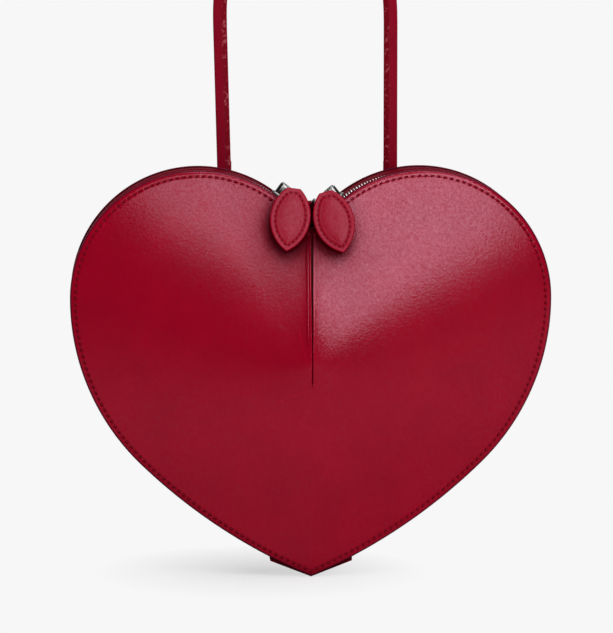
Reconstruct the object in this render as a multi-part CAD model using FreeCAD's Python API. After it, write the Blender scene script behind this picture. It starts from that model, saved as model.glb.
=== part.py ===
"""A heart-shaped leather purse: domed panels on a zipped gusset, sliders with leaf pulls, and a strap."""
import FreeCAD, Part
import math
import os

V = FreeCAD.Vector

# Sizes in millimetres, angles in degrees.
# +Z is up, -Y is the front, and the model is drawn from the heart's tip.

# Heart outline: tangent arcs, alike on both sides, as shares of its width
heart_width = 240.0
lobe_radius_share = 0.2675
side_radius_share = 0.4825
lower_radius_share = 1.1583
side_sweep_deg = 45.5
cleft_radius = 4.5

# Domed panels, drawn up to a rounded peak by the dart that runs down from the cleft
gusset_depth = 32.0
panel_thickness = 1.6
dome_height = 13.0
dome_power = 1.5
peak_height_share = 0.4727
peak_round_share = 0.1
ridge_height = 2.4
ridge_spread = 11.0
ridge_fade = 26.0
dart_gap = 1.0
dart_strip_width = 1.9
dart_strip_thickness = 0.5
dart_strip_rise = 18.0

# Gusset round the rim, with a seam flange turned in under each panel
panel_overhang = 0.8
gusset_thickness = 1.2
seam_flange = 8.0
tip_patch_reach = 20.5
tip_patch_drop = 0.4
tip_patch_rise = 7.6

# Board and lining inside
board_gap = 0.5
lining_thickness = 0.4
lining_gap = 0.3
pocket_width = 92.0
pocket_height = 62.0
pocket_foot_z = 84.0
pocket_corner = 9.0
pocket_thickness = 1.0

# Zip
zip_slot = 7.0
zip_end_deg = 75.0
tape_width = 7.0
tape_thickness = 0.6
tooth_pitch = 2.4
tooth_length = 1.2
tooth_depth = 1.5
tooth_height = 2.8
tooth_slot = 1.4
tooth_first_deg = -53.5
tooth_last_deg = 66.0
stop_length = 2.0
stop_deg = 69.0
end_tab_thickness = 0.8
end_tab_width = 16.0
end_tab_length = 13.0

# Sliders, each on its lobe's own arc
slider_length = 15.0
slider_width = 8.5
slider_plate = 1.4
slider_gap = 0.35
keel_width = 6.0
post_width = 1.0
post_length = 4.0
post_inset = 1.2
lug_length = 3.8
lug_width = 4.4
crown_length = 12.5
crown_rise = 7.4

# Pull swivels: a pin through the slider's lug, with a cross bar in front of the panel
pin_radius = 0.8
pin_rise = 4.3
pin_run_gap = 0.05
pin_head_radius = 1.7
pin_head_length = 1.0
bar_radius = 0.75
bar_reach = 6.4

# Leaf pulls
leaf_top_width = 6.5
leaf_width = 20.0
leaf_rise = 3.9
leaf_waist = 11.1
leaf_length = 27.7
leaf_thickness = 1.2
leaf_knuckle_wall = 1.1
leaf_pad_margin = 2.8
leaf_pad_wall = 1.0
leaf_pad_height = 1.6
leaf_pad_round = 1.2
leaf_notch_gap = 0.3
leaf_lean_deg = 9.0
pull_apart_shares = {"left": 0.475, "right": 0.385}
leaf_tilt_deg = {"left": 7.6, "right": 16.4}

# Strap, its rings and the tabs that hold them behind the top rim
strap_apart_share = 0.175
strap_width = 7.0
strap_thickness = 2.4
strap_straight_rise = 79.6
strap_eye_wall = 2.0
strap_tail = 14.0
strap_tail_thickness = 1.6
strap_rivet_rise = 7.5
ring_wire_radius = 1.0
ring_side_gap = 0.6
ring_corner = 1.6
ring_pitch = 7.0
ring_drop = 10.0
tab_thickness = 2.2
tab_length = 24.0
tab_eye_wall = 1.3
tab_gap = 0.3
rivet_radius = 1.1
rivet_head_radius = 2.2
rivet_head_thickness = 0.9
tab_rivet_drop = 14.0

# Drawing aids: how far cuts run on, how closely edges are matched, how finely the dome is drawn
overrun = 6.0
match_gap = 0.01
dome_columns = 16
dome_rows = 26
column_power = 1.4

# Places that follow from the sizes
lobe_radius = heart_width * lobe_radius_share
side_radius = heart_width * side_radius_share
lower_radius = heart_width * lower_radius_share
lobe_x = heart_width / 2 - lobe_radius
sweep = math.radians(side_sweep_deg)
side_x = heart_width / 2 - side_radius
lower_x = side_x - (lower_radius - side_radius) * math.cos(sweep)
lower_rise = (lower_radius - side_radius) * math.sin(sweep)
lower_z = math.sqrt(lower_radius**2 - lower_x**2)
lobe_z = lower_z - lower_rise
cleft_z = lobe_z + math.sqrt((lobe_radius + cleft_radius) ** 2 - lobe_x**2)
heart_top = lobe_z + lobe_radius
peak_z = heart_top * peak_height_share
seat = gusset_depth / 2
face = seat + panel_thickness
wall_inset = panel_overhang + gusset_thickness
gusset_radius = lobe_radius - panel_overhang
tape_radius = gusset_radius - gusset_thickness
tooth_radius = tape_radius - tape_thickness / 2
slider_floor = gusset_radius + slider_gap
pin_radius_from_lobe = slider_floor + slider_plate + pin_rise
pull_x = {side: leaf_width * share for side, share in pull_apart_shares.items()}
slider_rest = {side: -math.asin((lobe_x - x) / pin_radius_from_lobe) for side, x in pull_x.items()}
pull_z = {side: lobe_z + pin_radius_from_lobe * math.cos(rest) for side, rest in slider_rest.items()}
strap_x = heart_width * strap_apart_share
strap_straight_top_z = heart_top + strap_straight_rise
far = heart_width


# Outlines

def flat(edges):
    """A face in the plane of the panels, from edges in order."""
    return Part.Face(Part.Wire(edges))


def point(x, z):
    return V(x, 0, z)


def line(start, end):
    return Part.LineSegment(start, end).toShape()


def arc(x, z, radius, first, last):
    """An arc about (x, z), between two angles in radians from +X towards +Z."""
    angles = (first, (first + last) / 2, last)
    return Part.Arc(*[point(x + radius * math.cos(a), z + radius * math.sin(a)) for a in angles]).toShape()


def half_heart(inset):
    """The right half of the heart, drawn in by an inset."""
    to_cleft = math.atan2(cleft_z - lobe_z, -lobe_x)
    tip = -math.acos(-lower_x / (lower_radius - inset))
    edges = [
        arc(0, cleft_z, cleft_radius + inset, -math.pi / 2, to_cleft - math.pi),
        arc(lobe_x, lobe_z, lobe_radius - inset, to_cleft, 0),
        arc(side_x, lobe_z, side_radius - inset, 0, -sweep),
        arc(lower_x, lower_z, lower_radius - inset, -sweep, tip),
    ]
    edges.append(line(edges[-1].Vertexes[-1].Point, edges[0].Vertexes[0].Point))
    return flat(edges)


def polygon(points):
    return flat([line(a, b) for a, b in zip(points, points[1:] + points[:1])])


def circle(x, z, radius):
    return Part.Face(Part.Wire(Part.makeCircle(radius, point(x, z), V(0, 1, 0))))


def prism(outline, y_first, y_last):
    return outline.translated(V(0, y_first, 0)).extrude(V(0, y_last - y_first, 0))


def turn(shape, x, z, degrees):
    """Turn about an axis along Y through (x, z): a positive angle goes from up towards the right."""
    copy = shape.copy()
    copy.rotate(point(x, z), V(0, 1, 0), degrees)
    return copy


def mirror_x(shape):
    return shape.mirror(V(0, 0, 0), V(1, 0, 0))


def mirror_y(shape):
    return shape.mirror(V(0, 0, 0), V(0, 1, 0))


def join(first, *others):
    whole = first.fuse(list(others))
    return whole.Solids[0] if len(whole.Solids) == 1 else whole


# The dome

def rim_distance(x, z):
    """From the peak to the rim through (x, z), with the cleft bridged level with the lobes' tops."""
    reach = math.hypot(x, z - peak_z)
    dx, dz = abs(x) / reach, (z - peak_z) / reach
    if dz > 0 and (heart_top - peak_z) / dz * dx <= lobe_x:
        return (heart_top - peak_z) / dz

    def hit(cx, cz, radius):
        along = dx * cx + dz * (cz - peak_z)
        spare = along**2 - cx**2 - (cz - peak_z) ** 2 + radius**2
        return along + math.sqrt(max(spare, 0))

    lobe = hit(lobe_x, lobe_z, lobe_radius)
    if peak_z + lobe * dz >= lobe_z:
        return lobe
    side = hit(side_x, lobe_z, side_radius)
    if peak_z + side * dz >= lobe_z - side_radius * math.sin(sweep):
        return side
    return hit(lower_x, lower_z, lower_radius)


def dome(x, z):
    """How far the panel stands forward of its rim: nearly a cone, with a ridge along the dart."""
    reach = math.hypot(x, z - peak_z)
    share = reach / rim_distance(x, z) if reach else 0
    rounded = math.sqrt((share**2 + peak_round_share**2) / (1 + peak_round_share**2))
    climb = min(max((z - peak_z) / ridge_fade, 0), 1)
    fade = climb * climb * (3 - 2 * climb)
    return dome_height * (1 - rounded**dome_power) + ridge_height * fade * math.exp(-x / ridge_spread)


def dome_face():
    """The right half of the front dome, drawn from its rim plane."""
    width = heart_width / 2 + 2 * overrun
    height = heart_top + 2 * overrun
    grid = []
    for i in range(dome_columns):
        x = width * (i / (dome_columns - 1)) ** column_power - overrun
        rows = [height * j / (dome_rows - 1) - overrun for j in range(dome_rows)]
        grid.append([V(x, -dome(x, z), z) for z in rows])
    surface = Part.BSplineSurface()
    surface.interpolate(grid)
    return surface.toShape()


front_dome = dome_face()


def layer(outline, inner, outer):
    """A domed layer of the front right quarter, between two distances from the middle plane at the rim."""
    sheet = front_dome.translated(V(0, -inner, 0)).extrude(V(0, inner - outer, 0))
    return sheet.common(prism(outline, -far, 0))


def inside(depth):
    """The space of the front right quarter from the middle plane out to a domed face."""
    block = front_dome.translated(V(0, -depth, 0)).extrude(V(0, far, 0))
    return block.common(Part.makeBox(far, far, 2 * far, V(0, -far, -far / 2)))


def ring(inset, width):
    return half_heart(inset).cut(half_heart(inset + width))


# Panels

def half_panel():
    """Half of the front panel. Its dart edge tapers to nothing at the peak."""
    panel = layer(half_heart(0), seat, face)
    rim = cleft_z - cleft_radius
    top = rim + overrun
    gap = dart_gap / 2 * (top - peak_z) / (rim - peak_z)
    return panel.cut(prism(polygon([point(0, peak_z), point(gap, top), point(-gap, top)]), -far, 0))


def dart_strip():
    """The narrow raised strip along the left lip of the dart."""
    low = peak_z + dart_strip_rise
    high = cleft_z - cleft_radius - panel_overhang
    inner, outer = dart_gap, dart_gap + dart_strip_width
    foot = [point(inner, low), point(outer, low + dart_strip_width)]
    outline = polygon(foot + [point(outer, high), point(inner, high)])
    return mirror_x(layer(outline, face, face + dart_strip_thickness))


def board():
    outline = half_heart(panel_overhang + seam_flange + board_gap)
    half = layer(outline, seat - gusset_thickness, seat)
    return join(half, mirror_x(half))


def lining():
    depth = seat - gusset_thickness - lining_gap
    half = layer(half_heart(wall_inset + lining_gap), depth - lining_thickness, depth)
    return join(half, mirror_x(half))


def pocket():
    """A slip pocket on the rear lining, round at its lower corners."""
    depth = seat - gusset_thickness - lining_thickness - 2 * lining_gap
    side, corner = pocket_width / 2, pocket_corner
    foot, top = pocket_foot_z, pocket_foot_z + pocket_height
    outline = flat([
        line(point(0, top), point(0, foot)),
        line(point(0, foot), point(side - corner, foot)),
        arc(side - corner, foot + corner, corner, -math.pi / 2, 0),
        line(point(side, foot + corner), point(side, top)),
        line(point(side, top), point(0, top)),
    ])
    half = mirror_y(layer(outline, depth - pocket_thickness, depth))
    return join(half, mirror_x(half))


# Gusset

def above_zip_ends():
    """The outline that holds the zipped part of the gusset, on the right."""
    end = math.radians(zip_end_deg)
    ray = point(lobe_x + far * math.sin(end), lobe_z + far * math.cos(end))
    return polygon([point(lobe_x, lobe_z), ray, point(far, far), point(0, far), point(0, lobe_z)])


def gusset_quarter():
    """The front right quarter of the gusset, wall and seam flange."""
    block = prism(ring(panel_overhang, seam_flange), -far, 0).common(inside(seat))
    hollow = prism(ring(wall_inset, seam_flange), -far, 0).common(inside(seat - gusset_thickness))
    return block.cut(hollow)


def zip_facing(quarter):
    """The front leather facing along the zip, over both lobes and through the cleft."""
    half = quarter.common(prism(above_zip_ends(), -far, -zip_slot / 2))
    return join(half, mirror_x(half))


def bottom_gusset(quarter):
    half = quarter.cut(prism(above_zip_ends(), -far, overrun))
    half = join(half, mirror_y(half))
    return join(half, mirror_x(half))


def gusset_lining():
    depth = seat - gusset_thickness - lining_thickness - 2 * lining_gap
    strip = prism(ring(wall_inset, lining_thickness), -far, 0).common(inside(depth))
    half = strip.cut(prism(above_zip_ends(), -far, overrun))
    half = join(half, mirror_y(half))
    return join(half, mirror_x(half))


def tip_patch():
    """The patch that wraps the tip, with straight lower edges."""
    reach, rise = tip_patch_reach, tip_patch_rise
    outline = polygon([
        point(0, -tip_patch_drop), point(reach, rise), point(reach - gusset_thickness, rise + overrun),
        point(0, rise + overrun),
    ])
    half = prism(outline, -seat, seat).cut(prism(half_heart(panel_overhang), -far, far))
    return join(half, mirror_x(half))


# Zip

def lobe_block(inner, outer, length, y_first, y_last):
    """A piece at the top of the right lobe, bent to the lobe's arc."""
    bend = length / gusset_radius / 2
    first, last = math.pi / 2 + bend, math.pi / 2 - bend
    low, high = arc(lobe_x, lobe_z, inner, last, first), arc(lobe_x, lobe_z, outer, first, last)
    rise = line(low.Vertexes[-1].Point, high.Vertexes[0].Point)
    fall = line(high.Vertexes[-1].Point, low.Vertexes[0].Point)
    return prism(flat([low, rise, high, fall]), y_first, y_last)


def box_on(x, z, length, height, y_first, y_last):
    """A block with its middle at (x, z)."""
    return Part.makeBox(length, y_last - y_first, height, V(x - length / 2, y_first, z - height / 2))


def zip_tape():
    """The front zip tape, under the facing's edge."""
    near = -tooth_slot / 2 - tooth_depth
    band = prism(ring(wall_inset, tape_thickness), near - tape_width, near)
    half = band.common(prism(above_zip_ends(), -far, 0))
    return join(half, mirror_x(half))


def zip_teeth():
    """The front row of teeth, along both lobes and round the cleft."""
    near, back = -tooth_slot / 2, -tooth_slot / 2 - tooth_depth
    step = math.degrees(tooth_pitch / tooth_radius)
    count = int((tooth_last_deg - tooth_first_deg) / step) + 1
    top = box_on(lobe_x, lobe_z + tooth_radius, tooth_length, tooth_height, back, near)
    teeth = [turn(top, lobe_x, lobe_z, tooth_first_deg + i * step) for i in range(count)]
    hollow = cleft_radius + lobe_radius - tooth_radius
    low = box_on(0, cleft_z - hollow, tooth_length, tooth_height, back, near)
    cleft_half_deg = math.degrees(math.atan2(lobe_x, cleft_z - lobe_z))
    cleft_count = int(cleft_half_deg / math.degrees(tooth_pitch / hollow))
    cleft_step = cleft_half_deg / (cleft_count + 1)
    teeth += [turn(low, 0, cleft_z, -i * cleft_step) for i in range(1, cleft_count + 1)]
    return Part.makeCompound(teeth + [mirror_x(tooth) for tooth in teeth] + [low])


def zip_stops():
    reach = tooth_slot / 2 + tooth_depth
    stop = box_on(lobe_x, lobe_z + tooth_radius, stop_length, tooth_height, -reach, reach)
    stop = turn(stop, lobe_x, lobe_z, stop_deg)
    return Part.makeCompound([stop, mirror_x(stop)])


def zip_end_tab():
    """The leather tab over the zip's end, on the right lobe."""
    half = end_tab_width / 2
    tab = lobe_block(gusset_radius, gusset_radius + end_tab_thickness, end_tab_length, -half, half)
    return turn(tab, lobe_x, lobe_z, zip_end_deg)


def slider(side):
    """A slider, drawn on the right: plates above and below the teeth, a post, a crown and the pin's lug."""
    half, keel = slider_width / 2, keel_width / 2
    top = lobe_block(slider_floor, slider_floor + slider_plate, slider_length, -half, half)
    keel_top = tooth_radius - tooth_height / 2 - slider_gap
    low = lobe_block(keel_top - slider_plate, keel_top, slider_length, -keel, keel)
    post = lobe_block(keel_top - slider_plate / 2, slider_floor + slider_plate / 2, post_length,
                      -post_width / 2, post_width / 2)
    shift = (slider_length - post_length) / 2 - post_inset
    post = turn(post, lobe_x, lobe_z, -math.degrees(shift / gusset_radius))
    lug_foot, lug_top = slider_floor + slider_plate / 2, pin_radius_from_lobe
    lug_middle = lobe_z + (lug_foot + lug_top) / 2
    lug = box_on(lobe_x, lug_middle, lug_length, lug_top - lug_foot, -lug_width / 2, lug_width / 2)
    lug_round = prism(circle(lobe_x, lobe_z + lug_top, lug_length / 2), -lug_width / 2, lug_width / 2)
    crown = lobe_block(lug_foot, slider_floor + crown_rise, crown_length, -lug_width / 2, lug_width / 2)
    bore = prism(circle(lobe_x, lobe_z + lug_top, pin_radius + pin_run_gap), -far, far)
    whole = join(top, low, post, lug, lug_round, crown).cut(bore)
    return turn(whole, lobe_x, lobe_z, math.degrees(slider_rest[side]))


# Pulls

bar_clear = bar_radius + pin_run_gap
knuckle_radius = bar_clear + leaf_knuckle_wall
leaf_step = leaf_waist * math.sin(math.radians(leaf_lean_deg)) - knuckle_radius - leaf_notch_gap
bar_y = leaf_step - face - dome(0, min(pull_z.values()) - leaf_waist) - dart_strip_thickness


def rod(start, along, radius, length):
    return Part.makeCylinder(radius, length, start, along)


def hang(shape, side):
    """Put a pull's piece, drawn about the cross bar's middle, in its place on one side."""
    sign = {"left": -1, "right": 1}[side]
    placed = turn(shape, 0, 0, -sign * leaf_tilt_deg[side])
    placed.translate(V(sign * pull_x[side], bar_y, pull_z[side]))
    return placed


def pull_swivel():
    """The pin with its head behind the lug, its collar before it and the leaf's cross bar."""
    back = lug_width / 2 + pin_run_gap - bar_y
    front = -lug_width / 2 - pin_run_gap - pin_head_length - bar_y
    pin = rod(V(0, 0, 0), V(0, 1, 0), pin_radius, back + pin_head_length)
    head = rod(V(0, back, 0), V(0, 1, 0), pin_head_radius, pin_head_length)
    collar = rod(V(0, front, 0), V(0, 1, 0), pin_head_radius, pin_head_length)
    bar = rod(V(-bar_reach / 2, 0, 0), V(1, 0, 0), bar_radius, bar_reach)
    return join(pin, head, collar, bar)


def leaf_outline(inset, top_z):
    """A pointed leaf, one arc on each side, drawn in by an inset and cut off flat at a height."""
    shoulder, waist = leaf_top_width / 2, leaf_width / 2
    corners = [point(shoulder, leaf_rise), point(waist, -leaf_waist), point(0, -leaf_length)]
    sides = Part.Arc(*corners).toShape()
    centre, radius = sides.Curve.Center, sides.Curve.Radius - inset
    right = circle(centre.x, centre.z, radius)
    left = circle(-centre.x, centre.z, radius)
    below = polygon([point(-far, top_z), point(far, top_z), point(far, -far), point(-far, -far)])
    return right.common(left).common(below).Faces[0]


def lean(shape):
    copy = shape.copy()
    copy.rotate(V(0, 0, 0), V(1, 0, 0), -leaf_lean_deg)
    return copy


def leaf_back():
    """The rear leather, with two knuckles round the cross bar and a notch for the pin between them."""
    plate_top = -(bar_clear + knuckle_radius) / 2
    plate = prism(leaf_outline(0, plate_top), -bar_clear, leaf_thickness - bar_clear)
    eye = rod(V(-leaf_top_width / 2, 0, 0), V(1, 0, 0), knuckle_radius, leaf_top_width)
    eye = eye.common(Part.makeBox(far, far, far, V(-far / 2, -bar_clear / 2, -far / 2)))
    bore = rod(V(-far, 0, 0), V(1, 0, 0), bar_clear, 2 * far)
    notch_half = pin_radius + leaf_notch_gap
    notch = Part.makeBox(2 * notch_half, far, knuckle_radius + leaf_notch_gap + far,
                         V(-notch_half, -far / 2, -knuckle_radius - leaf_notch_gap))
    return lean(join(plate, eye).cut(bore).cut(notch))


def leaf_pad(inset, height):
    return prism(leaf_outline(inset, leaf_rise - inset), -bar_clear - height, -bar_clear)


def leaf_filler():
    return lean(leaf_pad(leaf_pad_margin + leaf_pad_wall, leaf_pad_height))


def leaf_front():
    """The front leather, flat along its edge, raised over the filler, and up past the cross bar."""
    plate = leaf_pad(0, leaf_thickness)
    height = leaf_thickness + leaf_pad_height
    pad = leaf_pad(leaf_pad_margin, height)
    crest = [e for e in pad.Edges if all(abs(v.Y + bar_clear + height) < match_gap for v in e.Vertexes)]
    pad = pad.makeFillet(leaf_pad_round, crest)
    return lean(join(plate, pad).cut(leaf_pad(leaf_pad_margin + leaf_pad_wall, leaf_pad_height)))


# Strap, rings and tabs

ring_z = lobe_z + math.sqrt(lobe_radius**2 - (lobe_x - strap_x) ** 2) - ring_drop
tab_bar_z = ring_z - ring_pitch
tab_eye_radius = ring_wire_radius + pin_run_gap + tab_eye_wall
ring_y = face + dome(strap_x, tab_bar_z - tab_eye_radius) + tab_eye_radius + tab_gap
rivet_z = tab_bar_z - tab_rivet_drop
hang_z = strap_straight_top_z + strap_x - strap_width / 2


def strap_ring():
    """The right ring: a rounded rectangle of wire, made of two halves."""
    low, high, corner = -ring_pitch, 0, ring_corner
    side = strap_width / 2 + ring_side_gap
    half_width = side + corner
    path = Part.Wire([
        line(point(0, high), point(side, high)),
        arc(side, high - corner, corner, math.pi / 2, 0),
        line(point(half_width, high - corner), point(half_width, low + corner)),
        arc(side, low + corner, corner, 0, -math.pi / 2),
        line(point(side, low), point(0, low)),
    ])
    section = Part.Wire(Part.makeCircle(ring_wire_radius, point(0, high), V(1, 0, 0)))
    half = path.makePipeShell([section], True, False)
    return join(half, mirror_x(half)).translated(V(strap_x, ring_y, ring_z))


def strap_tab():
    """The right tab on the back panel: a strip with an eye round the ring's lower bar."""
    half = strap_width / 2
    foot = tab_bar_z - tab_length + half
    outline = flat([
        line(point(strap_x - half, foot), point(strap_x - half, tab_bar_z)),
        line(point(strap_x - half, tab_bar_z), point(strap_x + half, tab_bar_z)),
        line(point(strap_x + half, tab_bar_z), point(strap_x + half, foot)),
        arc(strap_x, foot, half, 0, -math.pi),
    ])
    strip = mirror_y(layer(outline, face, face + tab_thickness))
    eye = rod(V(strap_x - half, ring_y, tab_bar_z), V(1, 0, 0), tab_eye_radius, strap_width)
    bore = rod(V(strap_x - far, ring_y, tab_bar_z), V(1, 0, 0), ring_wire_radius + pin_run_gap, 2 * far)
    hole = prism(circle(strap_x, rivet_z, rivet_radius), -far, far)
    return join(strip, eye).cut(bore).cut(hole)


def tab_rivet():
    """The right tab's rivet, through the tab and the back panel."""
    top = face + tab_thickness
    head = layer(circle(strap_x, rivet_z, rivet_head_radius), top, top + rivet_head_thickness)
    shank = layer(circle(strap_x, rivet_z, rivet_radius), seat, top + rivet_head_thickness)
    return mirror_y(join(head, shank))


def strap():
    """The strap as it hangs: two straight runs and an arch, each end folded round its ring."""
    half, top = strap_width / 2, strap_straight_top_z
    outer, inner = strap_x + half, strap_x - half
    band = flat([
        line(point(-outer, ring_z), point(-outer, top)),
        arc(0, top, outer, math.pi, 0),
        line(point(outer, top), point(outer, ring_z)),
        line(point(outer, ring_z), point(inner, ring_z)),
        line(point(inner, ring_z), point(inner, top)),
        arc(0, top, inner, 0, math.pi),
        line(point(-inner, top), point(-inner, ring_z)),
        line(point(-inner, ring_z), point(-outer, ring_z)),
    ])
    front, back = ring_y - strap_thickness / 2, ring_y + strap_thickness / 2
    whole = prism(band, front, back)
    eye_radius = ring_wire_radius + pin_run_gap + strap_eye_wall
    for x in (-strap_x, strap_x):
        eye = rod(V(x - half, ring_y, ring_z), V(1, 0, 0), eye_radius, strap_width)
        tail = Part.makeBox(strap_width, strap_tail_thickness, strap_tail, V(x - half, back, ring_z))
        whole = join(whole, eye, tail)
    bore = rod(V(-far, ring_y, ring_z), V(1, 0, 0), ring_wire_radius + pin_run_gap, 2 * far)
    rivet_rise = ring_z + strap_rivet_rise
    holes = [prism(circle(x, rivet_rise, rivet_radius), -far, far) for x in (-strap_x, strap_x)]
    return whole.cut(bore).cut(holes)


def strap_rivets():
    """The rivets that hold the strap's folded ends."""
    front, back = ring_y - strap_thickness / 2, ring_y + strap_thickness / 2 + strap_tail_thickness
    rivets = []
    for x in (-strap_x, strap_x):
        spot = point(x, ring_z + strap_rivet_rise)
        shank = prism(circle(spot.x, spot.z, rivet_radius), front, back)
        heads = [
            prism(circle(spot.x, spot.z, rivet_head_radius), front - rivet_head_thickness, front),
            prism(circle(spot.x, spot.z, rivet_head_radius), back, back + rivet_head_thickness),
        ]
        rivets.append(join(shank, *heads))
    return Part.makeCompound(rivets)


# Assembly

def build():
    half = half_panel()
    rivet_holes = [prism(circle(x, rivet_z, rivet_radius), 0, far) for x in (-strap_x, strap_x)]
    quarter = gusset_quarter()
    facing, tape, teeth = zip_facing(quarter), zip_tape(), zip_teeth()
    rivet = tab_rivet()
    nodes = {
        "front_panel": join(half, mirror_x(half)),
        "back_panel": mirror_y(join(half, mirror_x(half))).cut(rivet_holes),
        "front_dart_strip": dart_strip(),
        "back_dart_strip": mirror_y(dart_strip()),
        "front_board": board(),
        "back_board": mirror_y(board()),
        "front_lining": lining(),
        "back_lining": mirror_y(lining()),
        "inner_pocket": pocket(),
        "bottom_gusset": bottom_gusset(quarter),
        "gusset_lining": gusset_lining(),
        "tip_patch": tip_patch(),
        "front_zip_facing": facing,
        "rear_zip_facing": mirror_y(facing),
        "front_zip_tape": tape,
        "rear_zip_tape": mirror_y(tape),
        "front_zip_teeth": teeth,
        "rear_zip_teeth": mirror_y(teeth),
        "zip_stops": zip_stops(),
        "strap_tab_rivets": Part.makeCompound([rivet, mirror_x(rivet)]),
        "strap": strap(),
        "strap_rivets": strap_rivets(),
    }
    for side in ("left", "right"):
        own = mirror_x if side == "left" else Part.Shape.copy
        nodes[side + "_zip_end_tab"] = own(zip_end_tab())
        nodes[side + "_strap_tab"] = own(strap_tab())
        nodes[side + "_strap_ring"] = own(strap_ring())
        nodes[side + "_slider"] = own(slider(side))
        nodes[side + "_pull_swivel"] = hang(pull_swivel(), side)
        nodes[side + "_leaf_back"] = hang(leaf_back(), side)
        nodes[side + "_leaf_filler"] = hang(leaf_filler(), side)
        nodes[side + "_leaf_front"] = hang(leaf_front(), side)
    return nodes


def write(nodes):
    """Write every node with the origin under the top of the strap, where the purse hangs."""
    os.makedirs("parts", exist_ok=True)
    for name, shape in nodes.items():
        shape.translated(V(0, -ring_y, -hang_z)).exportStep(f"parts/{name}.step")


write(build())
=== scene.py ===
"""Looks of the heart shaped purse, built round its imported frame."""

import math

import bmesh
import bpy
import numpy as np
from mathutils import Matrix, Vector


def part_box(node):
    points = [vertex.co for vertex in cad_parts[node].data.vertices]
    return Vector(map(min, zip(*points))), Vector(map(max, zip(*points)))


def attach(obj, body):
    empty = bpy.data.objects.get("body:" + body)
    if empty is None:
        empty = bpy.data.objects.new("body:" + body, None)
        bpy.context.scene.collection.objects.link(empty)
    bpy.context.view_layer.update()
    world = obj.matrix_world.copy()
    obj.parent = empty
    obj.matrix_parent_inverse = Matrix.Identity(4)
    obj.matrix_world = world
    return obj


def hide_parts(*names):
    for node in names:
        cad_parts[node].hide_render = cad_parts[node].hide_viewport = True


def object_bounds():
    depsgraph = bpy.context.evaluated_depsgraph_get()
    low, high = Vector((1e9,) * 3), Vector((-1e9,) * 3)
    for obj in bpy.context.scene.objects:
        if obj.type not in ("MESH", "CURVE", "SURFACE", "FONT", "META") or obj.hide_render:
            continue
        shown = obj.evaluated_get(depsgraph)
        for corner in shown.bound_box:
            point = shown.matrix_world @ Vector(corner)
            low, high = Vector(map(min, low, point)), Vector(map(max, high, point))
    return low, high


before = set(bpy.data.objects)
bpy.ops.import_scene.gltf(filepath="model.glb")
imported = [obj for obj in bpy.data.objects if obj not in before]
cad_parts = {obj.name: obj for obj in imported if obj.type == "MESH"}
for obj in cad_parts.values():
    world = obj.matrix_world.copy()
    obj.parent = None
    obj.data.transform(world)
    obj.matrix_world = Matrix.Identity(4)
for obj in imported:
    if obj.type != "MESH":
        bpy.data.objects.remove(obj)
cad_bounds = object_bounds()

# Sizes in millimetres, drawn from the heart's tip, with +Z up and -Y to the front, as in part.py
MM = 0.001

# Heart outline, domed panels and gusset
heart_width = 240.0
lobe_radius_share = 0.2675
side_radius_share = 0.4825
lower_radius_share = 1.1583
sweep = math.radians(45.5)
cleft_radius = 4.5
seat = 16.0
panel_thickness = 1.6
panel_overhang = 0.8
gusset_thickness = 1.2
gusset_bulge = 0.35
dome_height = 13.0
dome_power = 1.5
peak_height_share = 0.4727
peak_round_share = 0.1
ridge_height = 2.4
ridge_spread = 11.0
ridge_fade = 26.0
ridge_drop = 10.0
ridge_foot_width = 8.0
ridge_loss_share = 0.3

lobe_radius = heart_width * lobe_radius_share
side_radius = heart_width * side_radius_share
lower_radius = heart_width * lower_radius_share
face = seat + panel_thickness
lobe_x = heart_width / 2 - lobe_radius
side_x = heart_width / 2 - side_radius
lower_x = side_x - (lower_radius - side_radius) * math.cos(sweep)
lower_z = math.sqrt(lower_radius**2 - lower_x**2)
lobe_z = lower_z - (lower_radius - side_radius) * math.sin(sweep)
cleft_z = lobe_z + math.sqrt((lobe_radius + cleft_radius) ** 2 - lobe_x**2)
cleft_foot = cleft_z - cleft_radius
heart_top = lobe_z + lobe_radius
peak_z = heart_top * peak_height_share
gusset_radius = lobe_radius - panel_overhang
wall_inset = panel_overhang + gusset_thickness

# Stitches along the panels
stitch_pitch = 3.25
stitch_length = 2.3
stitch_radius = 0.36
stitch_inset = 2.9
stitch_slant = math.radians(27.0)

# Zip and sliders
zip_slot = 7.0
zip_end = math.radians(75.0)
tape_width = 7.0
tape_thickness = 0.6
tooth_slot = 1.4
tooth_pitch = 1.55
tooth_depth = 1.5
tooth_last = math.radians(66.5)
slider_gap = 0.35
slider_plate = 1.4
slider_length = 15.0
slider_floor = gusset_radius + slider_gap
pin_rise = 4.3
pin_reach = slider_floor + slider_plate + pin_rise
pull_x = {"left": 9.5, "right": 7.7}
slider_rest = {side: -math.asin((lobe_x - x) / pin_reach) for side, x in pull_x.items()}
pull_z = {side: lobe_z + pin_reach * math.cos(rest) for side, rest in slider_rest.items()}

# Leaf pulls
leaf_lean = math.radians(9.0)
leaf_tilt = {"left": math.radians(7.6), "right": math.radians(16.4)}
leaf_top = 3.25
leaf_half = 10.0
leaf_rise = 3.9
leaf_waist = 11.1
leaf_length = 27.7
leaf_margin = 1.4
leaf_seam = 2.4
leaf_crown = 0.5
leaf_crown_run = 6.5
leaf_dip = 0.12
bar_radius = 0.75
bar_clear = 0.8

# Strap, rings and tabs
strap_apart_share = 0.175
strap_width = 7.0
strap_thickness = 2.4
strap_straight_rise = 79.6
strap_lean = 2.4
strap_ridge = -0.7
strap_end_run = 9.0
strap_end_step = 1.9
strap_end_share = 0.75
strap_eye_radius = 2.05
strap_tail_y = 2.0
strap_tail_thickness = 1.6
ring_drop = 10.0
ring_pitch = 7.0
tab_length = 24.0
tab_thickness = 2.2
tab_eye_radius = 1.75
strap_x = heart_width * strap_apart_share
strap_top = heart_top + strap_straight_rise
ring_z = lobe_z + math.sqrt(lobe_radius**2 - (lobe_x - strap_x) ** 2) - ring_drop

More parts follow.
